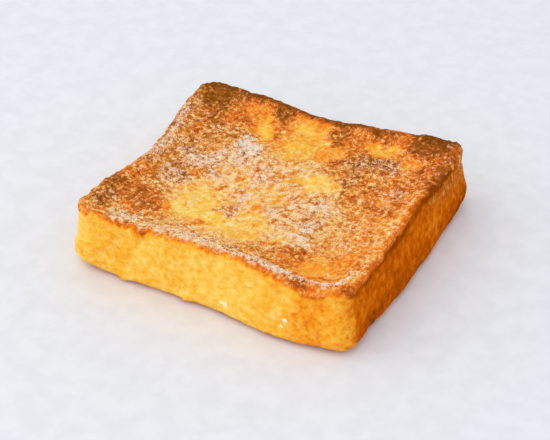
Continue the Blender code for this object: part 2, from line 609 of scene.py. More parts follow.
@dataclass
class Block:
    """A cube from -1 to 1, cut into cells. Its underside's cells are twice as wide."""

    across: int = 240
    deep: int = 226
    tall: int = 31

    def lattice(self) -> tuple[np.ndarray, list[tuple[int, ...]], np.ndarray]:
        """The lattice's points and faces.

        Returns:
            The points from -1 to 1, the faces as rows of point numbers, and each face's part.
        """
        numbers: dict[tuple[int, int, int], int] = {}
        faces: list[tuple[int, ...]] = []
        parts: list[int] = []

        def add(part: Face, *corners: tuple[int, int, int]) -> None:
            """Adds one face, and numbers its corners."""
            faces.append(tuple(numbers.setdefault(corner, len(numbers)) for corner in corners))
            parts.append(part.value)

        def wall(start: tuple[int, int], end: tuple[int, int], low: int) -> None:
            """Adds the side's face over one step of the outline."""
            add(Face.SIDE, (*start, low), (*end, low), (*end, low + 1), (*start, low + 1))

        right, back, top = self.across, self.deep, self.tall
        for i in range(right):
            for j in range(back):
                add(Face.TOP, (i, j, top), (i + 1, j, top), (i + 1, j + 1, top), (i, j + 1, top))
        for low in range(top):
            for i in range(right):
                wall((i, 0), (i + 1, 0), low)
                wall((i + 1, back), (i, back), low)
            for j in range(back):
                wall((0, j + 1), (0, j), low)
                wall((right, j), (right, j + 1), low)
        for i in range(0, right, 2):
            for j in range(0, back, 2):
                ring = [(i, j)]
                ring += [(0, j + 1)] if i == 0 else []
                ring += [(i, j + 2)]
                ring += [(i + 1, back)] if j + 2 == back else []
                ring += [(i + 2, j + 2)]
                ring += [(right, j + 1)] if i + 2 == right else []
                ring += [(i + 2, j)]
                ring += [(i + 1, 0)] if j == 0 else []
                add(Face.UNDER, *[(a, b, 0) for a, b in ring])
        shape = np.array([self.across, self.deep, self.tall])
        return np.array(list(numbers)) / shape * 2 - 1, faces, np.array(parts)


@dataclass
class SliceForm:
    """The slice's sizes in millimetres, and how they move the points of a block."""

    width: float = 116.0
    depth: float = 109.0
    thickness: float = 25.5
    rim_radius: float = 1.8
    foot_radius: float = 3.7
    belly: float = 0.8
    lip: float = 0.3
    lip_height: float = 1.7
    dish: float = 2.4
    rim_width: float = 11.0
    roll_radius: float = 2.6
    roll_drop: float = 2.0
    roll_at: float = 40.0
    roll_length: float = 6.5
    roll_reach: float = 5.0
    side_crags: Crags = Crags(0.6, 9.0, 2.7)
    foot_crags: Crags = Crags(0.6, 8.0, 5.2)
    rim_crags: Crags = Crags(0.7, 7.0, 7.9)
    rim_crests: Crags = Crags(0.7, 7.0, 3.4)
    broad_crests: Crags = Crags(0.7, 15.0, 1.3)
    narrow_crests: Crags = Crags(0.8, 5.5, 4.1)
    drips: tuple[float, ...] = (-36.2, -9.0)
    drip_height: float = 1.7
    drip_width: float = 1.6
    drip_level: float = 1.8
    corner_spread: float = 16.0
    foot_spread: float = 10.0
    lift_spread: float = 20.0
    lift_reach: float = 12.0
    front_bow: Bow = Bow(4.1, 30.0, 16.5)
    right_bow: Bow = Bow(1.8, 0.0, 22.0)
    left: Edge = Edge(4.6, -1.0, 15.5, -0.1)
    right: Edge = Edge(0.0, 0.0, 20.0, 2.0)
    front: Edge = Edge(0.5, 0.0, 25.0, 2.6)
    back: Edge = Edge(3.2, -4.0, 16.5, -1.0)
    corners: dict[tuple[int, int], Corner] = field(
        default_factory=lambda: {
            (-1, -1): Corner(8.0, 0.4, -0.4, 2.2, 0.4, 2.4, 2.8, 1.6),
            (-1, 1): Corner(8.0, 1.2, -0.9, 0.5, 0.5, 1.6, 0.0, 0.6),
            (1, 1): Corner(8.0, 0.5, 0.5, 2.4, 1.7, 1.9, 3.8, 1.2),
            (1, -1): Corner(5.5, -1.2, 0.7, 2.2, 0.2, 1.2, 2.2, 0.1),
        }
    )
    swells: tuple[Swell, ...] = (
        Swell(-25.0, 53.0, 7.0, 6.0, 0.9),
        Swell(30.0, 21.0, 11.0, 10.0, 0.8),
        Swell(-42.0, 12.0, 10.0, 24.0, 0.5),
        Swell(-37.0, -36.0, 10.0, 8.0, 0.5),
        Swell(27.0, -37.0, 6.0, 4.0, 0.5),
        Swell(0.0, 33.0, 11.0, 11.0, -0.8),
        Swell(28.0, 42.0, 8.0, 4.0, -0.6),
        Swell(-23.0, 34.0, 5.0, 6.0, -0.6),
        Swell(-13.0, -20.0, 15.0, 12.0, -0.7),
        Swell(2.0, -36.0, 22.0, 5.0, -0.6),
        Swell(42.0, -28.0, 7.0, 11.0, -0.4),
    )

    def outline(self, unit: np.ndarray) -> None:
        """Finds the rounded outline under each point of the block, seen from above.

        Args:
            unit: The block's points, from -1 to 1.
        """
        half = np.array([self.width, self.depth]) / 2
        self.ring = np.abs(unit[:, :2]).max(axis=1)
        self.edge = unit[:, :2] / np.maximum(self.ring, 1e-9)[:, None] * half
        self.edge[self.ring < 1e-9] = (half[0], 0.0)
        self.radius = np.zeros((len(unit), 1))
        for place, corner in self.corners.items():
            self.radius[(self.edge * place >= 0).all(axis=1)] = corner.radius
        self.inner = np.clip(self.edge, self.radius - half, half - self.radius)
        away = self.edge - self.inner
        self.outward = away / np.linalg.norm(away, axis=1)[:, None]
        even = (unit[:, 2] + 1) / 2
        self.level = 0.5 * even + 0.25 * (1 - np.cos(np.pi * even))
        self.top = unit[:, 2] > 0.999
        self.under = (unit[:, 2] < -0.999) & (self.ring < 0.999)
        self.side = self.ring > 0.999

    def near_corner(self, place: tuple[int, int]) -> np.ndarray:
        """1 at a corner's foot, dying away from there."""
        corner = (place[0] * self.width / 2, place[1] * self.depth / 2)
        return mound(*self.edge.T, corner, (self.foot_spread, self.foot_spread))

    def inset(self) -> np.ndarray:
        """How far the side is inside the outline: its roundings, belly and lip.

        Returns:
            The inset at each point, in millimetres.
        """
        height = self.thickness * self.level
        foot, belly = self.foot_radius, self.belly
        for place, corner in self.corners.items():
            foot = foot + corner.foot_round * self.near_corner(place)
            belly = belly + corner.belly * self.near_corner(place)
        rolled = mound(*self.edge.T, (self.roll_at, -self.depth / 2), (self.roll_length,) * 2)
        rim = self.rim_radius + self.roll_radius * rolled
        below = np.clip(foot - height, 0, None)
        above = np.clip(height - self.thickness + rim, 0, None)
        inset = foot - np.sqrt(np.clip(foot**2 - below**2, 0, None))
        inset = inset + rim - np.sqrt(np.clip(rim**2 - above**2, 0, None))
        # The belly swells the lower part, and the upper part is a little hollow
        inset = inset - belly * np.sin(np.pi * self.level) * (1 - 1.6 * self.level)
        lip = bump(height, self.thickness - self.lip_height, self.lip_height)
        return inset - self.lip * lip * (self.level < 1)

    def rise(self, x: np.ndarray, y: np.ndarray) -> np.ndarray:
        """How far the top rose or sank in frying, at a place seen from above.

        Args:
            x: Places along X, in millimetres.
            y: Places along Y, in millimetres.

        Returns:
            The rise at each place, below 0 where the top sank.
        """
        wide, deep = self.width / 2, self.depth / 2
        sides = (
            (self.left, x, -wide, y),
            (self.right, x, wide, y),
            (self.front, y, -deep, x),
            (self.back, y, deep, x),
        )
        rolled = mound(x, y, (self.roll_at, -deep), (self.roll_length, self.roll_reach))
        total = -self.roll_drop * rolled
        for edge, across, at, along in sides:
            near = mound(across, along, (at, edge.at), (self.lift_reach, self.lift_spread))
            total += edge.lift * near
        for (side_x, side_y), corner in self.corners.items():
            near = mound(x, y, (side_x * wide, side_y * deep), (self.corner_spread,) * 2)
            total += corner.lift * near
        for swell in self.swells:
            near = mound(x, y, (swell.x, swell.y), (swell.reach_x, swell.reach_y))
            total += swell.rise * near
        return total

    def placed(self) -> np.ndarray:
        """The smooth form's points, in millimetres.

        Returns:
            A row for each of the points.
        """
        flat = self.inner + self.outward * (self.radius - self.inset()[:, None])
        x, y = (flat * self.ring[:, None]).T
        foot = 1 - self.level
        share_x = np.clip(2 * x / self.width, -1, 1)
        share_y = np.clip(2 * y / self.depth, -1, 1)
        out_x = out_y = 0.0
        for (side_x, side_y), corner in self.corners.items():
            weight = (1 + side_x * share_x) * (1 + side_y * share_y) / 4
            out_x = out_x + weight * (corner.out_x + foot * corner.foot_x)
            out_y = out_y + weight * (corner.out_y + foot * corner.foot_y)
        left, right, front, back = (
            edge.waist * bump(along, edge.at, edge.spread)
            for edge, along in ((self.left, y), (self.right, y), (self.front, x), (self.back, x))
        )
        bow, front_bow = self.right_bow, self.front_bow
        right = right - foot * bow.out * bump(y, bow.at, bow.spread)
        front = front - foot * front_bow.out * bump(x, front_bow.at, front_bow.spread)
        in_x = np.where(x < 0, left, right) * share_x**2
        in_y = np.where(y < 0, front, back) * share_y**2
        moved_x = x + share_x * out_x - np.sign(x) * in_x
        moved_y = y + share_y * out_y - np.sign(y) * in_y
        inside_x = ease((self.width / 2 - np.abs(x) - self.rim_radius) / self.rim_width)
        inside_y = ease((self.depth / 2 - np.abs(y) - self.rim_radius) / self.rim_width)
        sunk = self.dish * inside_x * inside_y * self.top
        raised = self.thickness * self.level + self.rise(x, y) * self.level - sunk
        return np.stack([moved_x, moved_y, raised], axis=1)

    def crags(self, points: np.ndarray) -> np.ndarray:
        """How the crust's larger lumps move each point.

        Args:
            points: The smooth form's points.

        Returns:
            The moves along X, Y and Z, in millimetres.
        """
        level = points[:, 2] / self.thickness
        at_rim = bump(level, 1.0, 0.1) * ease((self.ring - 0.9) / 0.1)
        at_foot = bump(level, 0.12, 0.1) * self.side
        front = self.side & (self.edge[:, 1] < -self.depth / 4)
        edge = np.column_stack([self.edge, np.zeros(len(points))])
        out, up, swell = np.zeros((3, len(points)))
        sides, tops = np.flatnonzero(self.side), np.flatnonzero(self.top)
        rims = np.flatnonzero(at_rim > 0.001)
        between = ease(6 * level) * (1 - at_rim)
        out[sides] += between[sides] * self.side_crags.at(points[sides])
        out[sides] += at_foot[sides] * self.foot_crags.at(edge[sides])
        out[rims] += at_rim[rims] * self.rim_crags.at(edge[rims])
        for drip in self.drips:
            middle, spread = (drip, self.drip_level), (self.drip_width, self.drip_width)
            out += front * self.drip_height * mound(points[:, 0], points[:, 2], middle, spread)
        up[rims] += at_rim[rims] * self.rim_crests.at(edge[rims])
        swell[tops] = self.broad_crests.at(points[tops]) + self.narrow_crests.at(points[tops])
        up += (1 - at_rim) * swell
        return np.column_stack([out[:, None] * self.outward, up])


# ---------------------------------------------------------------- browning and sugar


@dataclass(frozen=True)
class Spot:
    """A part of the top that fried to a tone of its own, with more or less sugar on it."""

    x: float
    y: float
    reach_x: float
    reach_y: float
    brown: float
    sugar: float
    turn: float = 0.0
    raised: float = 0.0

    def weight(self, x: np.ndarray, y: np.ndarray) -> np.ndarray:
        """1 in the spot's middle, a half at its reach and 0 outside.

        Args:
            x: Places along X, in millimetres.
            y: Places along Y, in millimetres.

        Returns:
            The weight at each place.
        """
        angle = math.radians(self.turn)
        along = (x - self.x) * math.cos(angle) + (y - self.y) * math.sin(angle)
        across = (y - self.y) * math.cos(angle) - (x - self.x) * math.sin(angle)
        return ease(1.5 - np.hypot(along / self.reach_x, across / self.reach_y))


@dataclass
class Browning:
    """How brown and how sugared the top is, laid on from broad areas to small spots.

    The spots' outlines are frayed by lumps, each given by how far it moves them and its width.
    Along the front and back rims they're frayed less.
    """

    brown: float = 0.50
    sugar: float = 0.14
    frays: tuple[Pair, Pair] = ((2.4, 9.0), (2.2, 3.6))
    rim_fray: float = 0.3
    rim_at: float = 50.0
    spots: tuple[Spot, ...] = (
        # Broad areas
        Spot(-47, 10, 12, 40, 0.55, 0.27),
        Spot(43, 8, 12, 32, 0.54, 0.16),
        Spot(0, 48, 60, 5, 0.52, 0.04),
        Spot(-6, 4, 24, 18, 0.34, 0.36),
        Spot(-8, -20, 26, 20, 0.22, 0.36),
        Spot(18, -16, 14, 17, 0.40, 0.36),
        Spot(40, -22, 12, 18, 0.42, 0.24),
        Spot(55, -12, 2.5, 38, 0.38, 0.24),
        # Back left
        Spot(-52, 46, 11, 10, 0.94, 0.03),
        Spot(-44, 33, 7, 6, 0.74, 0.06),
        Spot(-56, 24, 4, 18, 0.58, 0.26),
        Spot(-35, 47, 9, 6, 0.80, 0.0),
        Spot(-32, 39, 10, 8, 0.58, 0.02),
        Spot(-27, 41, 7, 5, 0.48, 0.0, -30),
        Spot(-23, 39, 5, 3, 0.32, 0.0, -40),
        Spot(-20, 33, 3.6, 6, 0.20, 0.0, 20),
        Spot(-19, 46, 5, 6, 0.88, 0.0, 20),
        Spot(-15, 34, 1.6, 8, 0.62, 0.0, 8),
        Spot(-15, 37, 1.0, 1.0, 0.30, 0.6),
        Spot(-33, 24, 5, 4, 0.63, 0.26),
        Spot(-45, 19, 5, 6, 0.62, 0.14),
        # Back, from left to right
        Spot(-3, 33, 9.5, 14, 0.24, 0.06),
        Spot(-3, 46, 9, 3.5, 0.40, 0.02),
        Spot(9, 42, 4, 7, 0.76, 0.12),
        Spot(17, 41, 6, 8, 0.58, 0.02, -20),
        Spot(28, 41, 6, 5, 0.24, 0.0),
        Spot(25, 49, 7, 3, 0.70, 0.02),
        Spot(47, 48, 10, 9, 0.88, 0.05),
        Spot(56, 34, 3, 18, 0.80, 0.10),
        Spot(51, 32, 3.5, 9, 0.68, 0.14),
        Spot(42, 35, 4, 5, 0.40, 0.06),
        Spot(-4, 50, 30, 2.2, 0.70, 0.04),
        # Right of the middle
        Spot(9, 28, 6, 7, 0.36, 0.02),
        Spot(15, 24, 3.5, 4, 0.66, 0.10),
        Spot(29, 28, 11, 5.5, 0.67, 0.30),
        Spot(26, 18, 6, 8, 0.68, 0.20),
        Spot(16, 6.5, 7.5, 5.5, 0.07, 0.16),
        Spot(6, 7, 3.5, 4, 0.26, 0.02),
        Spot(46, 12, 4, 5, 0.56, 0.34),
        # Middle and left, where most sugar lies
        Spot(-22, 18, 4.5, 9, 0.55, 0.64, 25),
        Spot(-28, 9, 4, 6, 0.50, 0.50),
        Spot(-18, 8, 5, 4, 0.46, 0.46),
        Spot(-34, 1, 6, 3.5, 0.62, 0.50),
        Spot(-41, 5, 3, 3, 0.70, 0.40),
        Spot(-25, -4, 4, 3.5, 0.56, 0.44),
        Spot(-38, -11, 6, 8, 0.58, 0.40, 30),
        Spot(-6, 5, 7, 6, 0.42, 0.44),
        Spot(-8, -12, 5, 6, 0.36, 0.44),
        Spot(-30, -5, 3, 3, 0.50, 0.14),
        Spot(-10, 5, 1.6, 1.6, 0.56, 0.08),
        Spot(0, 8, 2.2, 1.5, 0.52, 0.10),
        Spot(-13, -3.5, 2.4, 1.4, 0.52, 0.06),
        Spot(14.5, -2, 1.8, 1.2, 0.52, 0.08),
        # Pale custard in front of the middle
        Spot(-20, -19, 9, 8, 0.16, 0.14),
        Spot(-14, -30, 15, 6, 0.10, 0.12),
        Spot(4, -27, 8, 6, 0.14, 0.20),
        Spot(-18, -10, 2.4, 2.4, 0.52, 0.04),
        Spot(-28, -18, 2, 2.4, 0.42, 0.04),
        Spot(-8, -22, 5, 4, 0.52, 0.34),
        Spot(2, -17, 1.8, 4, 0.42, 0.04),
        Spot(6, -9, 1.6, 5, 0.42, 0.06, 20),
        Spot(-28, -33, 1.4, 4, 0.44, 0.04, 15),
        Spot(-15, -36, 2, 2, 0.48, 0.08),
        Spot(4, -35.5, 9, 3, 0.22, 0.08),
        Spot(15, -36, 6, 2.5, 0.32, 0.22),
        Spot(24, -8, 5, 3, 0.34, 0.56),
        Spot(24, -16, 4, 7, 0.50, 0.44),
        Spot(25, -30, 7, 3.5, 0.26, 0.50),
        # Front left
        Spot(-50, -20, 5, 9, 0.58, 0.08),
        Spot(-53, -32, 5, 7, 0.80, 0.0),
        Spot(-40, -32, 10, 8, 0.66, 0.08),
        Spot(-53, -42, 6, 5, 0.70, 0.20),
        # Front right
        Spot(27, -36, 7, 3, 0.66, 0.12),
        Spot(38, -42, 9, 6, 0.33, 0.03),
        Spot(25, -44, 6, 3.5, 0.58, 0.04),
        Spot(45, -33, 5, 6, 0.46, 0.04),
        Spot(56, -51, 3.5, 3, 0.69, 0.0),
        # Along the front rim, and the arc of sugar in the front right corner
        Spot(-8, -42, 22, 3.5, 0.38, 0.24),
        Spot(-37, -49, 8, 5.5, 0.47, 0.46),
        Spot(-14, -50, 24, 5.5, 0.38, 0.42),
        Spot(16, -51.5, 14, 4.0, 0.42, 0.44, -2),
        Spot(43, -44.5, 7, 0.9, 0.28, 0.06, 14, 0.25),
        Spot(41, -47.2, 9, 0.8, 0.62, 0.02, 10, -0.3),
        Spot(26, -50.8, 11, 1.3, 0.50, 0.60, 0, 0.3),
        Spot(38, -51.2, 8, 1.2, 0.50, 0.64, 0, 0.4),
        Spot(47, -50.2, 4, 1.2, 0.50, 0.64, 20, 0.4),
        Spot(51.2, -46, 1.2, 5, 0.50, 0.60, -10, 0.4),
    )

    def on_top(self, points: np.ndarray) -> tuple[np.ndarray, np.ndarray, np.ndarray]:
        """The top's browning and sugar, before the crumb's own pattern, and its wrinkles.

        Args:
            points: Places in millimetres.

        Returns:
            The browning and the sugar, each from 0 to 1, and how far the skin is wrinkled up.
        """
        flat = points * (1, 1, 0)
        inside = ease((self.rim_at - np.abs(points[:, 1])) / 8)
        loose = self.rim_fray + (1 - self.rim_fray) * inside
        (far, broad), (short, fine) = self.frays
        moves = [
            far * lumps(flat, broad, first, 2) + short * lumps(flat, fine, second, 3)
            for first, second in ((11.3, 13.1), (17.7, 19.9))
        ]
        x, y = (points[:, way] + loose * move for way, move in enumerate(moves))
        brown = np.full(len(points), self.brown)
        sugar = np.full(len(points), self.sugar)
        raised = np.zeros(len(points))
        for spot in self.spots:
            weight = spot.weight(x, y)
            raised += spot.raised * weight
            brown += (spot.brown - brown) * weight
            sugar += (spot.sugar - sugar) * weight
        brown += 0.08 * lumps(flat, 8.0, 21.1, 2)
        sugar += 0.10 * lumps(flat, 6.0, 25.3, 2)
        return np.clip(brown, 0.04, 1.05), np.clip(sugar, 0.0, 1.0), raised


@dataclass
class Sides:
    """The soaked sides, and the fried rim over them.

    Tones go from 0 for pale custard to 1 for the darkest crust, and the sizes are in millimetres.
    A depth is measured down from the rim, and is negative on the top, inside the rim.
    """

    rim_reach: float = 7.0
    wrap: float = 0.6
    front_tone: float = 0.25
    left_tone: float = 0.33
    # The right side's tone is partly browning and partly painted shade, as that side faces away from
    # the lamp
    right_tone_with_shade: float = 0.83
    rim_tone: float = 0.60
    line_tone: float = 0.62
    fold_at: float = -26.0
    # Painted shade in the fold's crease
    fold_shade_tone: float = 0.40
    fold_depth: float = 0.5
    crevice_at: float = 38.5
    # Painted shade in the crevice
    crevice_shade_tone: float = 0.40
    crevice_depth: float = 0.6
    drip_tone: float = 0.45
    grain_height: float = 0.10
    worn_height: float = 0.35

    def find(self, form: SliceForm, smooth: np.ndarray) -> None:
        """Finds the points, and where each one is.

        Args:
            form: The slice's form, after its outline is found.
            smooth: The smooth form's points.
        """
        depth = (1 - form.level) * form.thickness - form.top * (1 - form.ring) * form.depth / 2
        self.chosen = np.flatnonzero((form.side | form.top) & (depth > -self.rim_reach))
        self.depth = depth[self.chosen]
        self.places = smooth[self.chosen]
        self.on_side = form.side[self.chosen]
        self.level = form.level[self.chosen]
        self.drips = form.drips
        self.at_x, self.at_y = form.edge[self.chosen].T
        self.edge = np.column_stack([self.at_x, self.at_y, np.zeros(len(self.chosen))])
        out_x, out_y = form.outward[self.chosen].T
        ways = (-out_x, out_x, -out_y, out_y)
        self.left, self.rightward, self.ahead, self.behind = (np.clip(way, 0, 1) for way in ways)
        # The right side's darker tone, partly browning and partly painted shade on the side turned
        # away from the lamp, starts at the front right corner, with a wavy edge
        wave = lumps(self.places * (1, 1, 0.6), 5.0, 57.0, 2)
        around = ease((self.at_y + 51.5 + 1.2 * wave) / 4.5) * (self.at_x > form.width / 2 - 0.1)
        self.right = np.where(self.at_y < 0, around, ease((out_x - 0.4) / 0.5))
        self.far = ease((self.at_y - 2) / 20) * self.right
        self.near = self.right - self.far
        self.grain = lumps(self.places, 3.2, 47.0)
        streaks = lumps(self.places * (1, 1, 0.5), 3.6, 49.0, 2)
        self.streaks = streaks * ease((self.at_x - 22) / 12)
        self.crust = self.crust_depth()
        self.tan = self.far_tan()
        opened = bump(self.at_x, self.crevice_at, 2.8) * bump(self.depth, 0.8, 0.5)
        self.crevice = self.ahead * opened

    def crust_depth(self) -> np.ndarray:
        """The depth at which the fried crust ends, with a ragged edge.

        Returns:
            The depth for each point, below 0 where the crust ends inside the rim.
        """
        wrap = self.wrap - 0.2 * self.ahead**2 - 0.4 * self.rightward**2
        wrap += 2.0 * self.behind + 1.6 * self.left
        # Further down where the rim rolls over, on the near right and at the back right corner
        wrap += 2.9 * bump(self.at_x, 41.0, 4.5) * self.ahead
        wrap += 1.2 * self.rightward**2 * ease((5 - self.at_y) / 20)
        wrap += 5.0 * mound(self.at_x, self.at_y, (58.0, 50.0), (4.0, 9.0))
        ragged = 0.6 * lumps(self.edge, 5.0, 41.0) + 0.7 * lumps(self.edge, 1.9, 43.0)
        return wrap + (1 - 0.4 * self.right) * ragged

    def far_tan(self) -> np.ndarray:
        """How strong the tan band below the rim is, at the right side's far end.

        Returns:
            The strength at each point, from 0 to a little over 1.
        """
        rear = ease((self.at_y - 15) / 30)
        band = self.far * bump(self.depth, 4.6 + 2.2 * rear, 2.2 + 2.0 * rear)
        return band * (0.7 + 0.2 * rear + self.streaks)

    def pattern(self) -> np.ndarray:
        """How the soaked tone varies with the crumb, along the crust's edge and at the foot.

        Returns:
            What is added to the tone at each point.
        """
        tone = 0.10 * lumps(self.places, 9.0, 53.0) * (1 - 0.5 * self.right) + 0.08 * self.grain
        tone += 0.09 * self.streaks * (self.ahead + 0.6 * self.right)
        # A patchy brown line where the crust ends, and a browned foot
        patchy = np.clip(0.8 + 0.9 * lumps(self.edge, 4.0, 63.0, 2), 0.2, 1.5)
        tone += (0.36 - 0.22 * self.right) * patchy * bump(self.depth, self.crust + 0.2, 0.5)
        height = self.places[:, 2] - 1.1 * lumps(self.edge, 6.0, 61.0, 2)
        return tone + 0.14 * ease((1.7 - height) / 1.2)

    def front_marks(self) -> np.ndarray:
        """How much darker or paler the marks on the front are than the rest of it. Among them are
        painted shade in the fold and the crevice, and a painted highlight at the left corner.

        Returns:
            What is added to the tone at each point.
        """
        x, height, fold = self.at_x, self.places[:, 2], self.fold_at - 0.45 * self.depth
        # The fold, which is painted darker at its upper end as shade in the crease, browner to its
        # left and paler to its right
        marks = 0.08 * ease((fold - x) / 3 + 0.5) - 0.08 * bump(x, fold + 5, 4)
        marks += self.fold_shade_tone * bump(x, fold, 1.6) * bump(self.depth, 2.0, 1.6)
        # A brown and a pale stripe towards the right, and a pale patch in the middle
        marks += 0.08 * bump(x, 42, 5) - 0.06 * bump(x, 53, 4)
        marks -= 0.11 * mound(x, height, (9, 10), (12, 7))
        # A brown shade under each drip
        for drip in self.drips:
            marks += self.drip_tone * mound(x, height, (drip, 0.8), (1.8, 1.3))
        right_end = 0.25 * ease((x - 15) / 40) * (self.at_y < 0) * (1 - self.right)
        # Painted highlight: the front's left corner, which turns towards the lamp, is paler
        left_corner_highlight = 0.26 * bump(x, -58, 5) * ease((-self.at_y - 30) / 20)
        # The crevice is darker, as painted shade in it
        return marks * self.ahead + right_end - left_corner_highlight + self.crevice_shade_tone * self.crevice

    def right_marks(self) -> np.ndarray:
        """How much darker or paler the marks on the right side are than the rest of it, painted shadow
        under the rim among them.

        Returns:
            What is added to the tone at each point.
        """
        y, depth = self.at_y, self.depth
        # The near part is darker just under the crust, as painted shadow under the rim, browner at the
        # foot, and paler between and at its front
        near = 0.12 * bump(depth, self.crust + 1.6, 1.0) - 0.02 * bump(depth, 11, 3)
        near += 0.06 * ease((depth - 15) / 5) - 0.06 * bump(y, -46, 4)
        # The far part is darker under the rim, as painted shadow, and paler lower down
        far = 0.30 * bump(depth, 1.0, 1.1) - 0.10 * bump(depth, 12.5, 3.5)
        corner = 0.06 * mound(self.at_x, y, (58, -51), (1, 2.5))
        to_back = 0.10 * self.right * ease((y - 10) / 35)
        return near * self.near + far * self.far + corner + to_back - 0.17 * self.tan

    def soaked_tone(self) -> np.ndarray:
        """How brown the soaked sides are, the right side's extra tone partly browning and partly
        painted shade.

        Returns:
            The tone at each point.
        """
        tone = self.front_tone + (self.right_tone_with_shade - self.front_tone) * self.right
        tone += (self.left_tone - self.front_tone) * self.left
        return tone + self.pattern() + self.front_marks() + self.right_marks()

    def rim(self, tone: np.ndarray) -> np.ndarray:
        """Adds the rim's own tones: the front's edge, the near right's line, the back's band and
        painted shade in the crevice.

        Args:
            tone: The tone that frying gave the top and the rim.

        Returns:
            The tone with the rim's marks.
        """
        edge = self.rim_tone + 0.08 * ease((-20 - self.at_x) / 15) - 0.14 * ease((self.at_x - 36) / 8)
        edge += 0.30 * lumps(self.edge, 2.6, 65.0, 2) * ease((self.at_x - 30) / 8)
        tone = tone + (edge - tone) * 0.8 * self.ahead * bump(self.depth, self.crust + 0.1, 0.5)
        line = self.near * bump(self.depth, self.crust - 0.5, 0.45)
        tone += (self.line_tone - tone) * 0.9 * line
        # The back's band, and painted shade in the crevice
        return tone + 0.25 * self.behind * bump(self.depth, -0.4, 1.4) + 0.35 * self.crevice

    def dress(self, values: dict[str, np.ndarray]) -> None:
        """Soaks the sides, and ends the fried crust and its sugar along the rim.

        Args:
            values: The tone, sugar, soak and crumbly value of every point, changed in place.
        """
        names = ("tone", "sugar", "crumbly")
        tone, sugar, crumbly = (values[name][self.chosen] for name in names)
        past = self.depth - self.crust
        fade = 1.0 + 2.6 * self.ahead * bump(self.at_x, 47, 8)
        soak = ease(past / fade + 0.4)
        tan = np.clip(self.tan, 0, 1)
        # Custard closes the crumb just over the crust's end
        closed = np.maximum(self.ahead, self.right * (1 - 0.8 * self.far))
        crumbly *= 1 - closed * ease((past + 1.2 + 0.5 * self.right) / 0.9)
        # Sugar lies along a part of the left rim, and ends with the crust
        along_left = ease((38 - self.at_y) / 8) * ease((self.at_y + 12) / 8)
        sugar += (0.42 - sugar) * bump(self.depth, -1.8, 1.3) * self.left * along_left
        sugar *= 1 - ease((past + 0.4 + 0.8 * self.right) / 0.6)
        values["tone"][self.chosen] = self.rim(tone) * (1 - soak) + self.soaked_tone() * soak
        soak *= 1 - 0.7 * tan
        values["soak"][self.chosen] = soak
        values["sugar"][self.chosen] = sugar * (1 - soak)
        values["crumbly"][self.chosen] = np.maximum(crumbly, 0.9 * tan)

    def relief(self) -> np.ndarray:
        """How far the sides' fine relief stands out: grain, worn edge, crevice and fold.

        Returns:
            How far each point moves out, in millimetres.
        """
        out = self.grain_height * self.grain * ease(6 * self.level)
        worn = bump(self.depth, 1.0, 1.2)
        out += worn * self.worn_height * lumps(self.places, 2.4, 59.0)
        fold = bump(self.at_x, self.fold_at - 0.45 * self.depth, 1.4) * bump(self.depth, 4.0, 4.0)
        out -= self.fold_depth * self.ahead * fold
        return out * self.on_side - self.crevice_depth * self.crevice


